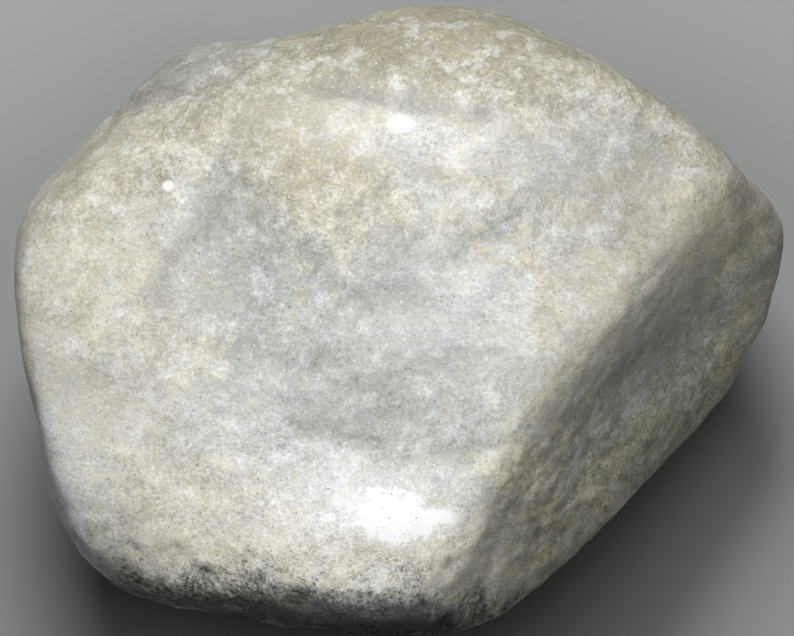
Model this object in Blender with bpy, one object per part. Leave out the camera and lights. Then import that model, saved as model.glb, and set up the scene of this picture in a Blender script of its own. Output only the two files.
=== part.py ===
# A hand-sized piece of massive gypsum rock, about 97 x 79 x 58 mm, one solid stone.
# A broad, nearly level face lies on top, with a shallow dish in it. Worn faces run round the sides,
# a long face slants down at the south-east, and a small flat spot underneath is what it rests on.
# +X is east, +Y is north and +Z is up. The origin is on the flat spot, under the stone's centre.

import itertools

import bmesh
import bpy
import numpy as np

# Height of the stone's centre over the flat spot, in metres.
CENTRE_HEIGHT = 0.028

# How tightly the worn faces meet. A lower number rounds every edge more.
EDGE_TIGHTNESS = 24.0

# Number of times the round blank is divided, which leaves edges about 3.5 mm long.
BLANK_DIVISIONS = 5

# Points this near the flat spot's plane are taken to lie on it, in metres.
CUT_TOLERANCE = 0.00001

# Worn faces: azimuth from +X and elevation of the way each faces, in degrees,
# and its distance from the stone's centre, in metres.
FACES = {
    "top": (90, 90, 0.0294),
    "top west": (185, 77, 0.0329),
    "top east": (18, 73, 0.0322),
    "north slope": (96, 52, 0.0386),
    "north brow": (98, 26, 0.0426),
    "north-west shoulder": (122, 45, 0.0422),
    "south-east slope": (-30, 34, 0.0332),
    "south-east rim": (-51, -14, 0.0351),
    "east rim": (-22, -8, 0.0448),
    "east tip": (4, -4, 0.0502),
    "north-east side": (40, 0, 0.0459),
    "north-north-east side": (65, 2, 0.0408),
    "north side": (92, 2, 0.0402),
    "north-north-west side": (108, -4, 0.0382),
    "north-west side": (136, 5, 0.0444),
    "west-north-west side": (156, 4, 0.0496),
    "west side": (189, 0, 0.0471),
    "south-west side": (213, -5, 0.0477),
    "south-south-west side": (236, -4, 0.0500),
    "south side": (262, 5, 0.0400),
    "south brow": (265, 47, 0.0452),
    "south-west brow": (236, 52, 0.0445),
    "south corner": (288, -2, 0.0400),
    "under south-east": (-60, -38, 0.0350),
    "under east": (6, -46, 0.0335),
    "under north-east": (50, -30, 0.0400),
    "under north": (102, -48, 0.0318),
    "under west": (168, -32, 0.0392),
    "under south-west": (220, -50, 0.0330),
    "under south": (268, -28, 0.0375),
    "underneath": (0, -90, 0.0286),
    "underneath west": (160, -72, 0.0309),
    "underneath east": (-15, -70, 0.0308),
    "underneath north": (75, -68, 0.0306),
    "underneath south": (255, -66, 0.0308),
}

# Lumps and hollows: place, then half length, half width and half height, all in metres,
# the turn of the length from +X in degrees, and the rise in metres, which is negative in a hollow.
FORMS = {
    "east tip": ((0.0486, 0.0103, 0.030), (0.0070, 0.0080, 0.010), 0, 0.0020),
    "east shoulder": ((0.0474, -0.0005, 0.028), (0.0050, 0.0070, 0.008), 0, 0.0014),
    "west corner": ((-0.0471, 0.0147, 0.032), (0.0080, 0.0080, 0.012), 0, 0.0016),
    "south-west corner": ((-0.0418, -0.0265, 0.034), (0.0080, 0.0080, 0.014), 0, 0.0014),
    "south-west shoulder": ((-0.0250, -0.0345, 0.050), (0.0090, 0.0040, 0.005), -10, 0.0010),
    "north point": ((0.0131, 0.0390, 0.032), (0.0080, 0.0060, 0.010), 0, 0.0006),
    "lobe": ((-0.0258, 0.0329, 0.032), (0.0095, 0.0045, 0.007), 18, 0.0024),
    "groove behind the lobe": ((-0.0248, 0.0301, 0.046), (0.0100, 0.0022, 0.005), 18, -0.0010),
    "dish": ((-0.0035, -0.0165, 0.056), (0.0160, 0.0085, 0.009), 8, -0.0026),
    "upper dish": ((-0.0057, 0.0027, 0.056), (0.0130, 0.0090, 0.009), 0, -0.0010),
    "tongue in the dish": ((-0.0004, 0.0126, 0.056), (0.0050, 0.0065, 0.009), 15, 0.0006),
    "slanting dent": ((-0.0117, 0.0118, 0.056), (0.0060, 0.0024, 0.009), -46, -0.0005),
    "west hollow": ((-0.0216, 0.0065, 0.056), (0.0046, 0.0100, 0.009), 15, -0.0011),
    "north crease": ((0.0017, 0.0283, 0.056), (0.0095, 0.0016, 0.009), -8, -0.0005),
    "south pad": ((-0.0009, -0.0253, 0.056), (0.0080, 0.0045, 0.009), 0, 0.0012),
    "upper ridge": ((0.0320, 0.0050, 0.048), (0.0110, 0.0040, 0.008), 45, 0.0006),
    "lower ridge": ((0.0085, -0.0285, 0.054), (0.0060, 0.0040, 0.008), 60, 0.0007),
    "scoop in the slope": ((0.0330, -0.0065, 0.038), (0.0120, 0.0045, 0.012), 42, -0.0014),
    "south pit": ((-0.0093, -0.0349, 0.040), (0.0028, 0.0020, 0.005), 0, -0.0006),
    "south side hollow": ((0.0060, -0.0390, 0.021), (0.0110, 0.0060, 0.006), 0, -0.0013),
    "west side ledge": ((-0.0440, 0.0020, 0.014), (0.0070, 0.0150, 0.005), 0, 0.0015),
    "west side hollow": ((-0.0480, -0.0080, 0.032), (0.0060, 0.0080, 0.006), 0, -0.0008),
    "north side hollow": ((0.0040, 0.0380, 0.016), (0.0080, 0.0060, 0.005), 0, -0.0015),
    "north-east side lump": ((0.0320, 0.0290, 0.020), (0.0090, 0.0070, 0.006), 0, 0.0010),
    "belly hollow": ((-0.0270, 0.0090, 0.007), (0.0090, 0.0080, 0.006), 20, -0.0014),
    "belly ridge": ((0.0280, 0.0120, 0.010), (0.0110, 0.0050, 0.007), 35, 0.0013),
}

# Uneven ground over the whole stone: spacing and height of the lumps in metres, and a seed.
ROUGHNESS = ((0.0130, 0.00042, 5), (0.0065, 0.00024, 8))

# Number of random heights along each side of the block that the lumps are read from.
LATTICE_SIZE = 16

# Dull, slightly creamy white.
GYPSUM_COLOUR = (0.60, 0.59, 0.54, 1.0)
GYPSUM_ROUGHNESS = 0.62

# Edges that turn by more than this stay sharp in shading, in radians.
SHARP_EDGE = 0.9


# Removes everything that the file opens with.
def clear_scene():
    for thing in list(bpy.data.objects):
        bpy.data.objects.remove(thing)


# Unit vectors for azimuths and elevations given in degrees.
def facing(azimuth, elevation):
    turn = np.radians(azimuth)
    lift = np.radians(elevation)
    return np.stack([np.cos(lift) * np.cos(turn), np.cos(lift) * np.sin(turn), np.sin(lift)], axis=-1)


# Distance from the centre to the worn stone along each direction. A flat face at distance h that
# faces n is met at h / (direction . n). The nearest face wins, and the blend rounds the edges.
def worn_radius(directions):
    azimuth, elevation, distance = np.array(list(FACES.values())).T
    closeness = np.maximum(directions @ facing(azimuth, elevation).T, 0.0) / distance
    return (closeness**EDGE_TIGHTNESS).sum(axis=1) ** (-1.0 / EDGE_TIGHTNESS)


# Height of all lumps and hollows at each point: every one is its rise times
# exp(-(along / half length)^2 - (across / half width)^2 - (up / half height)^2).
def form_height(points):
    height = np.zeros(len(points))
    for place, (half_length, half_width, half_height), turn, rise in FORMS.values():
        east, north, up = (points - place).T
        cosine = np.cos(np.radians(turn))
        sine = np.sin(np.radians(turn))
        along = (east * cosine + north * sine) / half_length
        across = (north * cosine - east * sine) / half_width
        height += rise * np.exp(-(along**2) - across**2 - (up / half_height) ** 2)
    return height


# Smooth random heights from -1 to 1: a block of random values, eased from each one to the next.
def lumps(points, spacing, seed):
    values = np.random.default_rng(seed).uniform(-1.0, 1.0, (LATTICE_SIZE,) * 3)
    place = points / spacing
    cell = np.floor(place).astype(int)
    share = place - cell
    share = share * share * (3.0 - 2.0 * share)
    height = np.zeros(len(points))
    for corner in itertools.product((0, 1), repeat=3):
        weight = np.where(corner, share, 1.0 - share).prod(axis=1)
        x, y, z = ((cell + corner) % LATTICE_SIZE).T
        height += weight * values[x, y, z]
    return height


# Points of the finished surface along each direction from the centre.
def surface_points(directions):
    centre = np.array((0.0, 0.0, CENTRE_HEIGHT))
    radius = worn_radius(directions)
    worn = centre + directions * radius[:, None]
    radius += form_height(worn)
    for spacing, height, seed in ROUGHNESS:
        radius += height * lumps(worn, spacing, seed)
    return centre + directions * radius[:, None]


# Cuts the stone off level at the ground and closes the cut with one flat face.
def cut_flat_spot(stone):
    everything = stone.verts[:] + stone.edges[:] + stone.faces[:]
    bmesh.ops.bisect_plane(
        stone,
        geom=everything,
        dist=CUT_TOLERANCE,
        plane_co=(0.0, 0.0, 0.0),
        plane_no=(0.0, 0.0, -1.0),
        clear_outer=True,
    )
    rim = [edge for edge in stone.edges if edge.is_boundary]
    for vertex in {vertex for edge in rim for vertex in edge.verts}:
        vertex.co.z = 0.0
    bmesh.ops.edgeloop_fill(stone, edges=rim)
    bmesh.ops.recalc_face_normals(stone, faces=stone.faces[:])


def gypsum_material():
    material = bpy.data.materials.new("gypsum")
    material.use_nodes = True
    surface = material.node_tree.nodes["Principled BSDF"]
    surface.inputs["Base Color"].default_value = GYPSUM_COLOUR
    surface.inputs["Roughness"].default_value = GYPSUM_ROUGHNESS
    surface.inputs["Metallic"].default_value = 0.0
    return material


# The stone: a round blank, worn to its faces and forms, and cut flat underneath.
def build_stone():
    stone = bmesh.new()
    bmesh.ops.create_icosphere(stone, subdivisions=BLANK_DIVISIONS, radius=1.0)
    blank = np.array([vertex.co[:] for vertex in stone.verts])
    directions = blank / np.linalg.norm(blank, axis=1, keepdims=True)
    for vertex, point in zip(stone.verts, surface_points(directions)):
        vertex.co = point
    cut_flat_spot(stone)
    mesh = bpy.data.meshes.new("gypsum_rock")
    stone.to_mesh(mesh)
    stone.free()
    mesh.shade_smooth()
    mesh.set_sharp_from_angle(angle=SHARP_EDGE)
    mesh.materials.append(gypsum_material())
    rock = bpy.data.objects.new("gypsum_rock", mesh)
    bpy.context.collection.objects.link(rock)


clear_scene()
build_stone()
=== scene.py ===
import itertools

import bpy
import numpy as np
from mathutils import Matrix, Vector


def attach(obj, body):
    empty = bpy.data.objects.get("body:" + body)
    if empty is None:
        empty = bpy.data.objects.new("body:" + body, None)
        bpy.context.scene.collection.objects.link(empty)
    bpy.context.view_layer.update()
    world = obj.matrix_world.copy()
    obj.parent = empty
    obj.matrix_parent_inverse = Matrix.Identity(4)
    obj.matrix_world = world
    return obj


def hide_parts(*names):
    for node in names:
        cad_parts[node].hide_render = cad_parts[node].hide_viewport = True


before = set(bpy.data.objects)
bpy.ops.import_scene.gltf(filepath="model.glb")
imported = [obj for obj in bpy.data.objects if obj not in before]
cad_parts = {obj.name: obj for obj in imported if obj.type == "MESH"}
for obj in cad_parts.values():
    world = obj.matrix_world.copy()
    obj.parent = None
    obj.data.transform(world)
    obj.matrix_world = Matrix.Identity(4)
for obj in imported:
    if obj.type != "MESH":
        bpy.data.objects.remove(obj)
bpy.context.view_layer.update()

print("frame loaded")

# The stone's shape. Lengths are in metres and angles in degrees, +X is right and +Y is up in the picture.
stone = {
    "node": "gypsum_rock",
    "slot": "gypsum",
    "gridSteps": 128,  # squares along a side of each of the six grids
    "centreHeight": 0.028,
    "edgeTightness": 24.0,
    # azimuth and elevation of the way each worn face looks, and its distance from the centre
    "faces": {
        "top": (90, 90, 0.0294),
        "top west": (185, 77, 0.0329),
        "top east": (18, 73, 0.0322),
        "north slope": (96, 52, 0.0386),
        "north brow": (98, 26, 0.0426),
        "north-west shoulder": (122, 45, 0.0422),
        "south-east slope": (-30, 34, 0.0332),
        "south-east rim": (-51, -14, 0.0351),
        "east rim": (-22, -8, 0.0448),
        "east tip": (4, -4, 0.0502),
        "north-east side": (40, 0, 0.0459),
        "north-north-east side": (65, 2, 0.0408),
        "north side": (92, 2, 0.0402),
        "north-north-west side": (108, -4, 0.0382),
        "north-west side": (136, 5, 0.0444),
        "west-north-west side": (156, 4, 0.0496),
        "west side": (189, 0, 0.0471),
        "south-west side": (213, -5, 0.0477),
        "south-south-west side": (236, -4, 0.0500),
        "south side": (262, 5, 0.0400),
        "south brow": (265, 47, 0.0452),
        "south-west brow": (236, 52, 0.0445),
        "south corner": (288, -2, 0.0400),
        "under south-east": (-60, -38, 0.0350),
        "under east": (6, -46, 0.0335),
        "under north-east": (50, -30, 0.0400),
        "under north": (102, -48, 0.0318),
        "under west": (168, -32, 0.0392),
        "under south-west": (220, -50, 0.0330),
        "under south": (268, -28, 0.0375),
        "underneath": (0, -90, 0.0286),
        "underneath west": (160, -72, 0.0309),
        "underneath east": (-15, -70, 0.0308),
        "underneath north": (75, -68, 0.0306),
        "underneath south": (255, -66, 0.0308),
    },
    # place, half length, width and height, turn of the length from +X, and rise (below 0 in a hollow)
    "forms": {
        "east tip": ((0.0486, 0.0103, 0.030), (0.0070, 0.0080, 0.010), 0, 0.0020),
        "east shoulder": ((0.0474, -0.0005, 0.028), (0.0050, 0.0070, 0.008), 0, 0.0014),
        "west corner": ((-0.0471, 0.0147, 0.032), (0.0080, 0.0080, 0.012), 0, 0.0016),
        "south-west corner": ((-0.0418, -0.0265, 0.034), (0.0080, 0.0080, 0.014), 0, 0.0014),
        "south-west shoulder": ((-0.0250, -0.0345, 0.050), (0.0090, 0.0040, 0.005), -10, 0.0010),
        "north point": ((0.0131, 0.0390, 0.032), (0.0080, 0.0060, 0.010), 0, 0.0006),
        "lobe": ((-0.0258, 0.0329, 0.032), (0.0095, 0.0045, 0.007), 18, 0.0024),
        "groove behind the lobe": ((-0.0248, 0.0301, 0.046), (0.0100, 0.0022, 0.005), 18, -0.0010),
        "dish": ((-0.0035, -0.0165, 0.056), (0.0160, 0.0085, 0.009), 8, -0.0026),
        "upper dish": ((-0.0057, 0.0027, 0.056), (0.0130, 0.0090, 0.009), 0, -0.0010),
        "tongue in the dish": ((-0.0004, 0.0126, 0.056), (0.0050, 0.0065, 0.009), 15, 0.0006),
        "slanting dent": ((-0.0117, 0.0118, 0.056), (0.0060, 0.0024, 0.009), -46, -0.0005),
        "west hollow": ((-0.0216, 0.0065, 0.056), (0.0046, 0.0100, 0.009), 15, -0.0011),
        "north crease": ((0.0017, 0.0283, 0.056), (0.0095, 0.0016, 0.009), -8, -0.0005),
        "south pad": ((-0.0009, -0.0253, 0.056), (0.0080, 0.0045, 0.009), 0, 0.0012),
        "upper ridge": ((0.0320, 0.0050, 0.048), (0.0110, 0.0040, 0.008), 45, 0.0006),
        "lower ridge": ((0.0085, -0.0285, 0.054), (0.0060, 0.0040, 0.008), 60, 0.0007),
        "scoop in the slope": ((0.0330, -0.0065, 0.038), (0.0120, 0.0045, 0.012), 42, -0.0014),
        "south pit": ((-0.0093, -0.0349, 0.040), (0.0028, 0.0020, 0.005), 0, -0.0006),
        "south side hollow": ((0.0060, -0.0390, 0.021), (0.0110, 0.0060, 0.006), 0, -0.0013),
        "west side ledge": ((-0.0440, 0.0020, 0.014), (0.0070, 0.0150, 0.005), 0, 0.0015),
        "west side hollow": ((-0.0480, -0.0080, 0.032), (0.0060, 0.0080, 0.006), 0, -0.0008),
        "north side hollow": ((0.0040, 0.0380, 0.016), (0.0080, 0.0060, 0.005), 0, -0.0015),
        "north-east side lump": ((0.0320, 0.0290, 0.020), (0.0090, 0.0070, 0.006), 0, 0.0010),
        "belly hollow": ((-0.0270, 0.0090, 0.007), (0.0090, 0.0080, 0.006), 20, -0.0014),
        "belly ridge": ((0.0280, 0.0120, 0.010), (0.0110, 0.0050, 0.007), 35, 0.0013),
    },
    # spacing and height of uneven ground, and a seed
    "roughness": ((0.0130, 0.00042, 5), (0.0065, 0.00024, 8)),
    "latticeSize": 16,
}

# The fine relief that the solid leaves out.
relief = {
    "lumps": ((0.0034, 0.00011, 3), (0.0017, 0.00009, 4), (0.0010, 0.00006, 6)),
    # coarser lumps low on the sides: spacing, height and seed
    "sideLumps": ((0.0075, 0.00045, 51), (0.0042, 0.00026, 52)),
    "sideStart": 0.046,  # they start below this height over the ground
    "sideFull": 0.032,  # and stand in full below this one
    "sideOnSlope": 0.3,  # share of them that is left on the slanting face
    # a plan path from west to east, the width of its south side and of its north side, and its depth
    "ledges": {
        "foot of the tongue": (
            ((-0.0190, 0.0179), (-0.0146, 0.0135), (-0.0108, 0.0096), (-0.0064, 0.0039), (-0.0032, 0.0029),
             (0.0019, 0.0039), (0.0070, 0.0075), (0.0133, 0.0122)),
            (0.0034, 0.0014), 0.00046,
        ),
        "line over the dish": (
            ((-0.0229, -0.0030), (-0.0178, -0.0039), (-0.0121, -0.0052), (-0.0064, -0.0075),
             (-0.0025, -0.0085), (0.0025, -0.0072), (0.0070, -0.0052), (0.0108, -0.0027)),
            (0.0030, 0.0018), 0.00034,
        ),
        "edge of the west hollow": (
            ((-0.0311, 0.0039), (-0.0286, 0.0077), (-0.0254, 0.0128), (-0.0229, 0.0179), (-0.0203, 0.0243)),
            (0.0032, 0.0010), 0.00050,
        ),
        "crease under the north rim": (
            ((-0.0089, 0.0302), (-0.0032, 0.0292), (0.0025, 0.0283), (0.0108, 0.0262)),
            (0.0026, 0.0011), 0.00060,
        ),
        "inner fold": (
            ((-0.0095, 0.0170), (-0.0070, 0.0140), (-0.0032, 0.0150), (0.0006, 0.0183), (0.0060, 0.0190)),
            (0.0018, 0.0011), 0.00035,
        ),
        "foot of the pad": (
            ((-0.0121, -0.0145), (-0.0064, -0.0170), (-0.0013, -0.0185), (0.0057, -0.0187),
             (0.0108, -0.0174)),
            (0.0014, 0.0030), 0.00060,
        ),
        "nick in the tongue": (
            ((0.0025, 0.0100), (0.0045, 0.0108), (0.0060, 0.0128)),
            (0.0010, 0.0005), 0.00020,
        ),
        "groove by the lobe": (
            ((-0.0330, 0.0268), (-0.0292, 0.0291), (-0.0248, 0.0301), (-0.0203, 0.0321), (-0.0166, 0.0345)),
            (0.0006, 0.0008), 0.00110,
        ),
    },
    "ledgeFloor": 0.030,  # ledges are only cut above this height
    "ledgeFade": 0.004,  # and in full this far over it
    # how far lumps of this spacing push a ledge's line aside and wear its depth, and a seed for each
    "ledgeWander": {"spacing": 0.0030, "shift": 0.0008, "wear": 0.6, "shiftSeed": 41, "wearSeed": 42},
    "slantingFace": "south-east slope",
    # streaks on the slanting face: azimuth in plan, spacing along and across, height, seed
    "streaks": {"azimuth": 50, "along": 0.0050, "across": 0.0013, "height": 0.00011, "seed": 21},
    # rougher patches: place, half sizes and turn, and how much higher the lumps and pits stand there
    "rough": {
        "south side": ((-0.0060, -0.0390, 0.045), (0.034, 0.0060, 0.016), 0, 3.0),
        "south-west": ((-0.0250, -0.0230, 0.054), (0.018, 0.0130, 0.020), 0, 1.0),
        "south-east slope": ((0.0200, -0.0260, 0.045), (0.010, 0.0080, 0.020), 0, 0.8),
    },
    # small pits: spacing of the places for one, share of places with one, radius, depth, seed
    "pits": ((0.0065, 0.30, 0.0011, 0.00030, 31), (0.0034, 0.30, 0.0006, 0.00018, 32)),
}


# Unit vectors (cos e cos a, cos e sin a, sin e) for azimuth a and elevation e in degrees.
def facing(azimuth, elevation):
    turn = np.radians(azimuth)
    lift = np.radians(elevation)
    return np.stack([np.cos(lift) * np.cos(turn), np.cos(lift) * np.sin(turn), np.sin(lift)], axis=-1)


# Six square grids that cover a cube of the given number of steps, as its distinct surface points and
# their squares, which face outwards. The point (i, j) of a grid is the same point in the grid beside it.
def cubeGrid(steps):
    i, j = np.meshgrid(np.arange(steps), np.arange(steps), indexing="ij")
    squares = []
    for axis, side in itertools.product(range(3), (0, steps)):
        corners = []
        for di, dj in ((0, 0), (1, 0), (1, 1), (0, 1)):
            place = [None] * 3
            place[axis] = np.full(i.shape, side)
            place[(axis + 1) % 3] = i + di
            place[(axis + 2) % 3] = j + dj
            corners.append((place[0] * (steps + 1) + place[1]) * (steps + 1) + place[2])
        square = np.stack(corners, axis=-1).reshape(-1, 4)
        squares.append(square if side else square[:, ::-1])
    codes, squares = np.unique(np.concatenate(squares), return_inverse=True)
    layer, depth = np.divmod(codes, steps + 1)
    points = np.stack([layer // (steps + 1), layer % (steps + 1), depth], axis=-1)
    return points, squares.reshape(-1, 4)


# Directions from the centre: each cube coordinate c from -1 to 1 becomes tan(c 45 deg), which spaces the
# grid evenly, and the result is scaled to length 1.
def cubeDirections(points, steps):
    spread = np.tan((2.0 * points / steps - 1.0) * np.pi / 4.0)
    return spread / np.linalg.norm(spread, axis=1, keepdims=True)


# How near each face is along each direction d: max(d . n, 0) / h for a face at distance h that looks along n.
# The radius is (sum of nearness^p)^(-1/p), so the nearest face wins and the blend rounds the edges. A
# face's share at a point is its own part of that sum.
def wornRadius(directions):
    azimuth, elevation, distance = np.array(list(stone["faces"].values())).T
    nearness = np.maximum(directions @ facing(azimuth, elevation).T, 0.0) / distance
    power = nearness ** stone["edgeTightness"]
    total = power.sum(axis=1)
    return total ** (-1.0 / stone["edgeTightness"]), power / total[:, None]


# Sum of rise exp(-(along / half length)^2 - (across / half width)^2 - (up / half height)^2) over a table.
def bumps(points, table):
    height = np.zeros(len(points))
    for place, (halfLength, halfWidth, halfHeight), turn, rise in table.values():
        east, north, up = (points - place).T
        cosine = np.cos(np.radians(turn))
        sine = np.sin(np.radians(turn))
        along = (east * cosine + north * sine) / halfLength
        across = (north * cosine - east * sine) / halfWidth
        height += rise * np.exp(-(along**2) - across**2 - (up / halfHeight) ** 2)
    return height


# Smooth random heights from -1 to 1: a block of random values, eased from each to the next by
# t t (3 - 2 t) along each axis.
def lumps(points, spacing, seed):
    size = stone["latticeSize"]
    values = np.random.default_rng(seed).uniform(-1.0, 1.0, (size,) * 3)
    place = points / spacing
    cell = np.floor(place).astype(int)
    share = place - cell
    share = share * share * (3.0 - 2.0 * share)
    height = np.zeros(len(points))
    for corner in itertools.product((0, 1), repeat=3):
        weight = np.where(corner, share, 1.0 - share).prod(axis=1)
        x, y, z = ((cell + corner) % size).T
        height += weight * values[x, y, z]
    return height


# Pits of -exp(-(d / radius)^2) at random places: one place in each cell of a block, some left out.
def pits(points, spacing, share, radius, seed):
    size = stone["latticeSize"]
    draw = np.random.default_rng(seed)
    offsets = draw.uniform(0.0, 1.0, (size, size, size, 3))
    present = draw.uniform(0.0, 1.0, (size,) * 3) < share
    place = points / spacing
    cell = np.floor(place).astype(int)
    height = np.zeros(len(points))
    for step in itertools.product((-1, 0, 1), repeat=3):
        x, y, z = ((cell + step) % size).T
        away = place - (cell + step + offsets[x, y, z])
        distance = np.linalg.norm(away, axis=1) * spacing
        height = np.minimum(height, np.where(present[x, y, z], -np.exp(-((distance / radius) ** 2)), 0.0))
    return height


# -exp(-(s / w)^2) across a plan path, where s is the distance to it and w is one width on its right
# and another on its left, so that one side is steep and the other runs out gently.
def ledge(places, path, widths):
    nearest = np.full(len(places), np.inf)
    onLeft = np.zeros(len(places), bool)
    for start, end in zip(path[:-1], path[1:]):
        start = np.array(start)
        run = np.array(end) - start
        offset = places - start
        share = np.clip(offset @ run / (run @ run), 0.0, 1.0)
        distance = np.linalg.norm(offset - share[:, None] * run, axis=1)
        closer = distance < nearest
        nearest = np.where(closer, distance, nearest)
        onLeft = np.where(closer, run[0] * offset[:, 1] - run[1] * offset[:, 0] > 0, onLeft)
    right, left = widths
    return -np.exp(-((nearest / np.where(onLeft, left, right)) ** 2))


# Height of the fine relief: small lumps and pits, which stand higher by 1 + the rough patches there, then
# ledges cut in the top, streaks along the slanting face, and coarser lumps low on the sides. slope is the
# slanting face's share at each point.
def fineHeight(points, slope):
    height = np.zeros(len(points))
    for spacing, rise, seed in relief["lumps"]:
        height += rise * lumps(points, spacing, seed)
    for spacing, share, radius, depth, seed in relief["pits"]:
        height += depth * pits(points, spacing, share, radius, seed)
    height *= 1.0 + bumps(points, relief["rough"])
    wander = relief["ledgeWander"]
    aside = lumps(points, wander["spacing"], wander["shiftSeed"])
    places = points[:, :2] + wander["shift"] * aside[:, None]
    onTop = np.clip((points[:, 2] - relief["ledgeFloor"]) / relief["ledgeFade"], 0.0, 1.0)
    worn = 1.0 - wander["wear"] * np.abs(lumps(points, wander["spacing"], wander["wearSeed"]))
    for path, widths, depth in relief["ledges"].values():
        height += depth * onTop * worn * ledge(places, path, widths)
    streaks = relief["streaks"]
    cosine = np.cos(np.radians(streaks["azimuth"]))
    sine = np.sin(np.radians(streaks["azimuth"]))
    x, y, z = points.T
    turned = np.stack([
        (x * cosine + y * sine) / streaks["along"],
        (y * cosine - x * sine) / streaks["across"],
        z / streaks["along"],
    ], axis=-1)
    height += streaks["height"] * slope * lumps(turned, 1.0, streaks["seed"])
    low = np.clip((relief["sideStart"] - z) / (relief["sideStart"] - relief["sideFull"]), 0.0, 1.0)
    left = 1.0 - (1.0 - relief["sideOnSlope"]) * slope
    for spacing, rise, seed in relief["sideLumps"]:
        height += rise * low * left * lumps(points, spacing, seed)
    return height


# The stone's points: centre + direction (worn radius + forms + uneven ground + fine relief), and
# nothing lower than the flat spot at height 0. Also the fine relief and the slanting face's share there.
def stonePoints(directions):
    centre = np.array((0.0, 0.0, stone["centreHeight"]))
    radius, faceShare = wornRadius(directions)
    worn = centre + directions * radius[:, None]
    radius = radius + bumps(worn, stone["forms"])
    for spacing, height, seed in stone["roughness"]:
        radius += height * lumps(worn, spacing, seed)
    slope = faceShare[:, list(stone["faces"]).index(relief["slantingFace"])]
    fine = fineHeight(worn, slope)
    points = centre + directions * (radius + fine)[:, None]
    points[:, 2] = np.maximum(points[:, 2], 0.0)
    return points, fine, slope


# The stone as one closed mesh, with two attributes that its material reads: how far the fine relief
# stands out, in millimetres, and the slanting face's share.
def makeStone():
    lattice, squares = cubeGrid(stone["gridSteps"])
    points, fine, slope = stonePoints(cubeDirections(lattice, stone["gridSteps"]))
    mesh = bpy.data.meshes.new("gypsum_stone")
    mesh.from_pydata(points, [], squares)
    mesh.shade_smooth()
    millimetres = fine * 1000.0
    for name, values in (("standing", millimetres), ("slope", slope)):
        mesh.attributes.new(name, "FLOAT", "POINT").data.foreach_set("value", values)
    rock = bpy.data.objects.new("gypsum_stone", mesh)
    bpy.context.scene.collection.objects.link(rock)
    return rock


# A shader socket that takes part in Python sums: each operator adds its Math node.
# A reflected form lets a plain number stand first, as in 1 - mask.
class Value:
    def __init__(self, shader, socket):
        self.shader = shader
        self.socket = socket

    def math(self, operation, first, second):
        return self.shader.node("ShaderNodeMath", {"operation": operation}, {0: first, 1: second})

    def __add__(self, other):
        return self.math("ADD", self, other)

    def __sub__(self, other):
        return self.math("SUBTRACT", self, other)

    def __mul__(self, other):
        return self.math("MULTIPLY", self, other)

    def __rsub__(self, other):
        return self.math("SUBTRACT", other, self)

    __radd__ = __add__
    __rmul__ = __mul__


# A material's node tree. Every node but the Math nodes of Value comes from node().
class Shader:
    def __init__(self, name):
        self.material = bpy.data.materials.new(name)
        self.material.use_nodes = True
        self.tree = self.material.node_tree
        self.tree.nodes.clear()

    def node(self, kind, settings=None, inputs=None, output=0):
        made = self.tree.nodes.new(kind)
        for name, value in (settings or {}).items():
            setattr(made, name, value)
        for name, value in (inputs or {}).items():
            if isinstance(value, Value):
                self.tree.links.new(value.socket, made.inputs[name])
            else:
                made.inputs[name].default_value = value
        return Value(self, made.outputs[output]) if made.outputs else made

    # 0 to 1 as value goes from low to high, eased at both ends
    def step(self, value, low, high):
        return self.node("ShaderNodeMapRange", {"interpolation_type": "SMOOTHSTEP"},
                         {"Value": value, "From Min": low, "From Max": high})

    def mixColour(self, factor, first, second, blend="MIX"):
        return self.node("ShaderNodeMix", {"data_type": "RGBA", "blend_type": blend},
                         {0: factor, 6: first, 7: second}, 2)

    def noise(self, place, size, detail, roughness, distortion):
        return self.node("ShaderNodeTexNoise", None, {
            "Vector": place, "Scale": 1.0 / size, "Detail": detail, "Roughness": roughness,
            "Distortion": distortion})

    # irregular cells of the given size
    def cells(self, place, size, output):
        return self.node("ShaderNodeTexVoronoi", None, {"Vector": place, "Scale": 1.0 / size}, output)

    # place measured from a centre, along and across a turn, in units of the given sizes
    def turned(self, place, centre, turn, sizes):
        return self.node("ShaderNodeMapping", {"vector_type": "TEXTURE"}, {
            "Vector": place, "Location": centre, "Rotation": (0.0, 0.0, np.radians(turn)), "Scale": sizes})

    # another output of the node that a value comes from
    def other(self, value, output):
        return Value(self, value.socket.node.outputs[output])

    # 1 inside an oval and 0 outside it, with an edge that wander (a value round 0) makes uneven
    def oval(self, place, centre, halfSizes, turn, soft, wander):
        local = self.turned(place, centre, turn, halfSizes)
        distance = self.node("ShaderNodeVectorMath", {"operation": "LENGTH"}, {0: local}, "Value")
        return self.step(distance + wander, 1.0 + soft, 1.0 - soft)

    # the oval of one row without a colour
    def patch(self, place, row, wander):
        centre, halfSizes, turn, soft, ragged = row
        return self.oval(place, centre, halfSizes, turn, soft, wander * ragged)

    # colour with each zone of a dictionary laid over it
    def zones(self, colour, place, table, wander):
        for centre, halfSizes, turn, soft, ragged, name, strength in table.values():
            mask = self.oval(place, centre, halfSizes, turn, soft, wander * ragged)
            colour = self.mixColour(mask * strength, colour, gypsum["colours"][name])
        return colour

    # colour with each row of a mottling table laid over it
    def mottled(self, colour, patterns, table):
        for pattern, start, full, strength, name in table:
            mask = self.step(patterns[pattern], start, full)
            colour = self.mixColour(mask * strength, colour, gypsum["colours"][name])
        return colour


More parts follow.
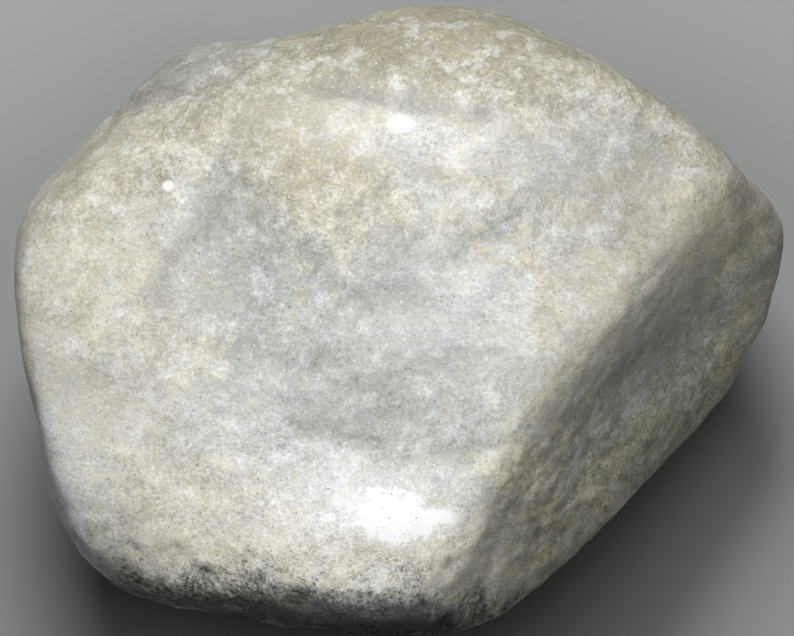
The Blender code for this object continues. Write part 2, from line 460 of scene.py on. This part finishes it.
# The gypsum: sizes in metres, turns in degrees, colours as linear red, green and blue.
gypsum = {
    "colours": {
        "plain": (0.68, 0.67, 0.62, 1.0),
        "cool": (0.545, 0.56, 0.54, 1.0),
        "cream": (0.72, 0.69, 0.595, 1.0),
        "tan": (0.475, 0.438, 0.318, 1.0),
        "grey": (0.42, 0.412, 0.365, 1.0),
        "olive": (0.39, 0.37, 0.265, 1.0),
        "slate": (0.52, 0.535, 0.49, 1.0),
        "straw": (1.08, 1.06, 0.86, 1.0),
        "white": (0.90, 0.90, 0.91, 1.0),
        # full white of the bruises, of the painted highlight on the south pad and of the painted glints
        "bruise and highlight white": (1.0, 1.0, 1.0, 1.0),
        "ivory": (0.92, 0.885, 0.76, 1.0),
        "pale blue": (0.82, 0.86, 0.92, 1.0),
        "blue": (0.66, 0.73, 0.98, 1.0),
        # near-black of the dirt and painted shade on the south side
        "dark": (0.048, 0.053, 0.041, 1.0),
        "bare crystals": (0.36, 0.40, 0.41, 1.0),
        "yellow": (0.60, 0.545, 0.36, 1.0),
        "speck": (0.15, 0.105, 0.045, 1.0),
    },
    # noises: size of the pattern, detail, roughness and distortion
    "broad": (0.014, 3.0, 0.6, 0.0),
    "cloud": (0.0110, 6.0, 1.0, 0.3),
    "tint": (0.0036, 3.0, 0.7, 0.0),
    "grain": (0.00055, 2.0, 0.9, 0.0),
    "streak": (1.0, 2.0, 0.7, 0.0),
    "tintPlace": (0.05, 0.02, 0.07),  # sets the tint's pattern apart from the others
    "streakTurn": 50,
    "streakSizes": (0.0030, 0.0007, 0.0020),
    # mottling under the zones and over them: pattern, its value at the start and in full, strength, colour
    "mottlingUnder": (
        ("broad", 0.40, 0.62, 1.0, "cream"),
        ("cloud", 0.50, 0.40, 0.5, "cool"),
        ("tint", 0.54, 0.64, 0.40, "yellow"),
    ),
    "mottlingOver": (
        ("tint", 0.56, 0.66, 0.18, "yellow"),
        ("tint", 0.47, 0.36, 0.40, "white"),
        # painted shade: grey where the fine relief sinks into pits, grooves and ledges
        ("standing", -0.05, -0.60, 0.60, "grey"),  # the standing is in millimetres
    ),
    # place, half sizes, turn, softness and raggedness of the edge, colour and strength
    "zones": {
        "grey dish": ((-0.003, -0.009, 0.055), (0.024, 0.016, 0.03), -12, 0.45, 1.0, "cool", 0.85),
        "grey west hollow": ((-0.0216, 0.0085, 0.055), (0.008, 0.013, 0.03), 15, 0.5, 1.0, "cool", 0.75),
        "grey upper right": ((0.024, 0.020, 0.050), (0.012, 0.015, 0.03), 30, 0.6, 1.0, "grey", 0.45),
        "cream west": ((-0.040, 0.008, 0.045), (0.014, 0.026, 0.03), 10, 0.4, 1.0, "cream", 0.7),
        "tan middle north": ((-0.0120, 0.0215, 0.055), (0.015, 0.0080, 0.03), -28, 0.6, 1.0, "tan", 0.70),
        "tan and painted shade north-west": ((-0.0360, 0.0220, 0.045), (0.012, 0.0055, 0.02), 36, 0.6, 1.2, "tan", 0.5),
        "grey tongue": ((0.000, 0.0110, 0.055), (0.0085, 0.0080, 0.03), 20, 0.5, 1.0, "cool", 0.32),
        "pale south-west": ((-0.0160, -0.0150, 0.055), (0.010, 0.0055, 0.03), -15, 0.7, 1.5, "white", 0.40),
        "pale middle": ((0.0100, 0.0010, 0.055), (0.0070, 0.0060, 0.03), 0, 0.7, 1.5, "white", 0.30),
        "pale tongue": ((0.0020, 0.0045, 0.055), (0.0060, 0.0060, 0.03), 0, 0.7, 1.2, "white", 0.22),
        "cream ridge": ((0.0270, 0.0060, 0.050), (0.014, 0.0050, 0.03), 45, 0.6, 1.5, "cream", 0.7),
        "cream south": ((-0.0165, -0.0245, 0.055), (0.010, 0.005, 0.03), -10, 0.6, 1.2, "cream", 0.7),
        # the north rim: a real tan stain, made darker still by painted shade
        "tan and painted shade north": ((0.003, 0.0395, 0.040), (0.034, 0.0110, 0.03), -4, 0.6, 0.5, "tan", 0.92),
        "brown and painted shade north": ((0.0080, 0.0385, 0.040), (0.020, 0.0085, 0.03), -6, 0.6, 0.6, "olive", 0.45),
        "grey lobe": ((-0.0240, 0.0335, 0.038), (0.0130, 0.0040, 0.02), 24, 0.4, 0.6, "grey", 0.85),
        "tan and painted shade north-east": ((0.040, 0.0260, 0.035), (0.016, 0.0065, 0.02), -42, 0.55, 0.7, "tan", 0.75),
        "olive east": ((0.0470, 0.0060, 0.030), (0.007, 0.014, 0.02), 0, 0.5, 1.0, "olive", 0.45),
        "slate slope": ((0.0302, -0.0073, 0.038), (0.020, 0.0062, 0.03), 47, 0.45, 1.0, "slate", 0.9),
        "olive rim": ((0.0370, -0.0190, 0.020), (0.026, 0.0055, 0.014), 48, 0.6, 1.0, "olive", 0.78),
        "brown slope": ((0.0180, -0.0200, 0.045), (0.014, 0.0050, 0.02), 60, 0.6, 1.2, "tan", 0.6),
        "dark rim": ((0.0215, -0.0325, 0.030), (0.011, 0.0030, 0.02), 45, 0.5, 0.8, "olive", 0.55),
        "pale corner": ((-0.0425, -0.0225, 0.046), (0.0060, 0.0110, 0.011), 25, 0.6, 1.5, "pale blue", 0.9),
        "pale by the band": ((-0.0030, -0.0338, 0.053), (0.0110, 0.0016, 0.02), 3, 0.6, 2.5, "white", 0.5),
        "round the south bruise": (
            (-0.0035, -0.0252, 0.056), (0.012, 0.0055, 0.02), 8, 0.7, 1.6, "white", 0.5,
        ),
        "west of the south bruise": (
            (-0.0074, -0.0250, 0.056), (0.0020, 0.0075, 0.02), -8, 0.6, 1.8, "white", 0.75,
        ),
        "cream below the bruise": (
            (0.0010, -0.0290, 0.056), (0.0100, 0.0034, 0.02), 0, 0.6, 1.2, "cream", 0.5,
        ),
        "pale along the brow": ((-0.0120, -0.0303, 0.055), (0.026, 0.0034, 0.02), -5, 0.6, 1.2, "ivory", 0.6),
        "pale west brow": ((-0.0315, -0.0240, 0.052), (0.013, 0.0065, 0.02), -40, 0.6, 1.2, "ivory", 0.60),
        # painted light: paler colour along the ridge, where its lit side runs further south-east than the
        # solid's shading reaches
        "painted light on the lower ridge": ((0.0085, -0.0300, 0.053), (0.0050, 0.0040, 0.02), 60, 0.6, 0.8, "ivory", 0.85),
        "painted light on the middle ridge": ((0.0175, -0.0117, 0.052), (0.0075, 0.0025, 0.02), 47, 0.6, 1.2, "ivory", 0.55),
        "painted light on the upper ridge": ((0.0330, 0.0035, 0.046), (0.0120, 0.0032, 0.02), 45, 0.6, 1.2, "ivory", 0.65),
        "olive by the rim": ((0.0340, -0.0125, 0.036), (0.010, 0.0032, 0.02), 47, 0.6, 1.2, "olive", 0.5),
        "beside the north bruise": (
            (0.0040, 0.0230, 0.056), (0.012, 0.0035, 0.02), -8, 0.7, 1.6, "white", 0.45,
        ),
    },
    # dark on the south side and low down, as the zones: partly dirt, mostly painted shade where that side
    # turns away from the key light
    "painted shade and dirt": {
        "band by the brow": (
            (-0.0110, -0.0405, 0.0480), (0.031, 0.0077, 0.0190), -5, 0.30, 0.50, "dark", 0.72,
        ),
        "south side": ((-0.0110, -0.0450, 0.0460), (0.034, 0.0093, 0.0180), -5, 0.38, 0.60, "dark", 0.92),
        "south-west corner": (
            (-0.0335, -0.0385, 0.0450), (0.010, 0.0052, 0.0180), -25, 0.35, 0.40, "dark", 0.88,
        ),
        "south corner": ((-0.0010, -0.0412, 0.0450), (0.0125, 0.0068, 0.0180), 0, 0.30, 0.35, "dark", 0.97),
        "low on the south": ((-0.0080, -0.0400, 0.0270), (0.044, 0.0120, 0.0130), 0, 0.5, 0.8, "dark", 0.38),
        "bluish by the brow": (
            (-0.0020, -0.0360, 0.0530), (0.0110, 0.0016, 0.0200), 2, 0.6, 0.8, "pale blue", 0.25,
        ),
    },
    # where the surface is crumbly, and where it is gritty: place, half sizes, turn, softness, raggedness
    "crumbly": ((-0.0150, -0.0300, 0.050), (0.034, 0.0150, 0.03), 0, 0.6, 1.0),
    "gritty": ((-0.0140, -0.0388, 0.050), (0.034, 0.0085, 0.03), -7, 0.5, 0.3),
    # fresh white marks that the grain doesn't show in, as the zones; on the south pad the white is partly a
    # painted highlight
    "bruises and highlight": {
        # the south pad: a bruise with a painted highlight over it, white to the full
        "south": ((-0.0006, -0.0241, 0.056), (0.0041, 0.0028, 0.02), -10, 0.25, 1.3, "bruise and highlight white", 1.0),
        "south, east arm": ((0.0046, -0.0244, 0.056), (0.0026, 0.0009, 0.02), 0, 0.4, 0.8, "bruise and highlight white", 0.9),
        "north": ((0.0006, 0.0247, 0.056), (0.0016, 0.0010, 0.02), -5, 0.3, 0.6, "bruise and highlight white", 0.95),
        "chip": ((-0.0283, 0.0169, 0.055), (0.0007, 0.0006, 0.02), 0, 0.3, 0.3, "bruise and highlight white", 1.0),
        "blue glint": ((0.0137, 0.0118, 0.056), (0.0005, 0.0004, 0.02), 0, 0.7, 0.6, "blue", 0.6),
    },
    # how far each noise pushes the edge of a zone about, before its raggedness
    "wander": {"cloud": 4.5, "grain": 0.6},
    "strawStrength": 0.85,  # tint of the slanting face
    # each range gives the value at which a pattern starts to count and the one at which it counts in full
    "streakRange": (0.55, 0.68),
    "streakStrength": 0.40,
    "crumbRange": (0.56, 0.72),
    "crumbStrength": 0.6,
    # crystals that show through the dirt and painted shade: pattern, its value at the start and in full,
    # strength
    "bareCrystals": (("tint", 0.50, 0.62, 0.22), ("grain", 0.57, 0.70, 0.30)),
    "crystalSize": 0.00030,
    # how much each pattern lightens or darkens the grains, and how much more in the two rough places
    "uneven": {"cloud": 1.5, "grain": 0.72, "crystal": 0.14, "crumbly": 0.35, "gritty": 1.1},
    # shining crystals, whose white is a painted glint, and brown specks: a range of distance from a cell's
    # middle, and one of the cell's random number, which draws the cells that have one
    "sparkSize": 0.0006,
    "shineRange": (0.24, 0.12),
    "shineDraw": (0.80, 0.88),
    "shineStrength": 0.8,
    "speckRange": (0.24, 0.10),
    "speckDraw": (-0.14, -0.05),
    "speckGather": 0.9,  # how much the yellow tint draws the specks
    "speckStrength": 0.75,
    # the grain's bump, which is finer than the mesh: share of each pattern, then the node's own values
    "bumpHeight": {"grain": 1.2, "crystal": 0.3, "cloud": 1.5},
    "bump": {"Strength": 0.4, "Distance": 0.00016},
    "roughness": 0.58,
    "smootherShine": 0.3,  # how much smoother the shining crystals are
    "body": {
        "Subsurface Weight": 0.2,
        "Subsurface Scale": 0.0010,
        "Subsurface Radius": (1.0, 0.9, 0.75),
        "Specular IOR Level": 0.3,
        "IOR": 1.52,
    },
}


# The gypsum's finish, from Object coordinates and the two attributes of the stone's mesh.
def gypsumMaterial():
    shader = Shader("gypsum")
    colours = gypsum["colours"]
    place = shader.node("ShaderNodeTexCoord", None, None, "Object")
    tintPlace = shader.turned(place, gypsum["tintPlace"], 0, (1, 1, 1))
    streakPlace = shader.turned(place, (0, 0, 0), gypsum["streakTurn"], gypsum["streakSizes"])
    broad = shader.noise(place, *gypsum["broad"])
    cloud = shader.noise(place, *gypsum["cloud"])
    tint = shader.noise(tintPlace, *gypsum["tint"])
    grain = shader.noise(place, *gypsum["grain"])
    streak = shader.noise(streakPlace, *gypsum["streak"])
    standing = shader.node("ShaderNodeAttribute", {"attribute_name": "standing"}, None, "Fac")
    slope = shader.node("ShaderNodeAttribute", {"attribute_name": "slope"}, None, "Fac")
    patterns = {"broad": broad, "cloud": cloud, "tint": tint, "grain": grain, "standing": standing}

    # how far the edges of zones wander
    wander = (cloud - 0.5) * gypsum["wander"]["cloud"] + (grain - 0.5) * gypsum["wander"]["grain"]
    crumbly = shader.patch(place, gypsum["crumbly"], wander)
    gritty = shader.patch(place, gypsum["gritty"], wander)

    # cream and grey mottling, a straw tint on the slanting face, the named zones, finer mottling and painted
    # shade in hollows
    colour = shader.mottled(colours["plain"], patterns, gypsum["mottlingUnder"])
    colour = shader.mixColour(slope * gypsum["strawStrength"], colour, colours["straw"], "MULTIPLY")
    colour = shader.zones(colour, place, gypsum["zones"], wander)
    colour = shader.mottled(colour, patterns, gypsum["mottlingOver"])

    # pale streaks down the slanting face, white grains where it is crumbly, and dirt with painted shade on
    # the south side that bare crystals show through
    pale = shader.step(streak, *gypsum["streakRange"]) * slope * gypsum["streakStrength"]
    colour = shader.mixColour(pale, colour, colours["white"])
    white = shader.step(grain, *gypsum["crumbRange"]) * crumbly * gypsum["crumbStrength"]
    colour = shader.mixColour(white, colour, colours["white"])
    # dirt and painted shade, darkest on the south side and low down
    colour = shader.zones(colour, place, gypsum["painted shade and dirt"], wander)
    bare = 0.0
    for pattern, start, full, strength in gypsum["bareCrystals"]:
        bare = bare + shader.step(patterns[pattern], start, full) * strength
    colour = shader.mixColour(bare * gritty, colour, colours["bare crystals"])

    # sugary grains: each crystal a little lighter or darker
    crystal = shader.cells(place, gypsum["crystalSize"], "Color")
    tone = shader.node("ShaderNodeSeparateColor", None, {0: crystal}, "Red")
    mix = gypsum["uneven"]
    uneven = (cloud - 0.5) * mix["cloud"] + (grain - 0.5) * mix["grain"] + (tone - 0.5) * mix["crystal"]
    shade = 1.0 + uneven * (1.0 + crumbly * mix["crumbly"] + gritty * mix["gritty"])
    colour = shader.node("ShaderNodeVectorMath", {"operation": "SCALE"}, {0: colour, "Scale": shade})
    # white bruises over the grain, with a painted highlight on the south pad
    colour = shader.zones(colour, place, gypsum["bruises and highlight"], wander)

    # crystals that shine, painted white as glints with a smoother finish, and brown specks that gather where
    # the tint is yellow
    near = shader.cells(place, gypsum["sparkSize"], "Distance")
    draw = shader.node("ShaderNodeSeparateColor", None, {0: shader.other(near, "Color")}, "Green")
    painted_glint = shader.step(near, *gypsum["shineRange"]) * shader.step(draw, *gypsum["shineDraw"])
    colour = shader.mixColour(painted_glint * gypsum["shineStrength"], colour, colours["bruise and highlight white"])
    gather = (tint - 0.5) * gypsum["speckGather"] - draw
    speck = shader.step(near, *gypsum["speckRange"]) * shader.step(gather, *gypsum["speckDraw"])
    colour = shader.mixColour(speck * gypsum["speckStrength"], colour, colours["speck"])

    mix = gypsum["bumpHeight"]
    height = (grain - 0.5) * mix["grain"] + (tone - 0.5) * mix["crystal"] + (cloud - 0.5) * mix["cloud"]
    bump = shader.node("ShaderNodeBump", None, {**gypsum["bump"], "Height": height})
    roughness = gypsum["roughness"] - painted_glint * gypsum["smootherShine"]
    surface = shader.node("ShaderNodeBsdfPrincipled", {"subsurface_method": "RANDOM_WALK"}, {
        **gypsum["body"], "Base Color": colour, "Roughness": roughness, "Normal": bump})
    shader.node("ShaderNodeOutputMaterial", None, {"Surface": surface})
    return shader.material


# Camera: looks straight down, as the photograph does.
view = {
    "lens": 600.0,
    "sensorWidth": 36.0,
    "frameWidth": 0.10084,  # width that the picture shows at the stone's outline
    "outlineHeight": 0.030,
    "middle": (0.00025, 0.00040),
}


def addCamera():
    data = bpy.data.cameras.new("camera")
    data.lens = view["lens"]
    data.sensor_width = view["sensorWidth"]
    distance = view["frameWidth"] * view["lens"] / view["sensorWidth"]
    camera = bpy.data.objects.new("camera", data)
    camera.location = (*view["middle"], view["outlineHeight"] + distance)
    bpy.context.scene.collection.objects.link(camera)
    bpy.context.scene.camera = camera


# Soft studio lights: azimuth and elevation they stand at, distance from the target, size and power.
studio = {
    "key": (97, 47, 0.60, 0.25, 2.6),
    "overhead": (0, 90, 0.14, 0.08, 0.066),
    "world": 0.02,
    "floorColour": (0.50, 0.50, 0.50, 1.0),
    "floorRoughness": 0.9,
    "floorSize": 3.0,
    "target": (0.0, 0.0, 0.03),
}


def addLight(name, azimuth, elevation, distance, size, power):
    data = bpy.data.lights.new(name, "AREA")
    data.shape = "DISK"
    data.size = size
    data.energy = power
    light = bpy.data.objects.new(name, data)
    away = Vector(facing(azimuth, elevation))
    light.location = Vector(studio["target"]) + away * distance
    light.rotation_euler = away.to_track_quat("Z", "Y").to_euler()
    light.visible_camera = False
    bpy.context.scene.collection.objects.link(light)


def addStudio():
    for name in ("key", "overhead"):
        addLight(name, *studio[name])
    half = studio["floorSize"] / 2.0
    mesh = bpy.data.meshes.new("floor")
    corners = [(-half, -half, 0), (half, -half, 0), (half, half, 0), (-half, half, 0)]
    mesh.from_pydata(corners, [], [(0, 1, 2, 3)])
    shader = Shader("floor")
    surface = shader.node("ShaderNodeBsdfPrincipled", None, {
        "Base Color": studio["floorColour"], "Roughness": studio["floorRoughness"]})
    shader.node("ShaderNodeOutputMaterial", None, {"Surface": surface})
    mesh.materials.append(shader.material)
    floor = bpy.data.objects.new("floor", mesh)
    bpy.context.scene.collection.objects.link(floor)
    world = bpy.data.worlds.new("studio")
    world.use_nodes = True
    background = world.node_tree.nodes["Background"]
    background.inputs["Color"].default_value = (1.0, 1.0, 1.0, 1.0)
    background.inputs["Strength"].default_value = studio["world"]
    bpy.context.scene.world = world
    bpy.context.scene.view_settings.view_transform = "Standard"


addCamera()
print("camera set")
rock = makeStone()
print("stone made:", len(rock.data.polygons), "squares")
rock.data.materials.append(gypsumMaterial())
print("gypsum laid on")
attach(rock, "root")
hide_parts(stone["node"])
addStudio()
print("studio set")
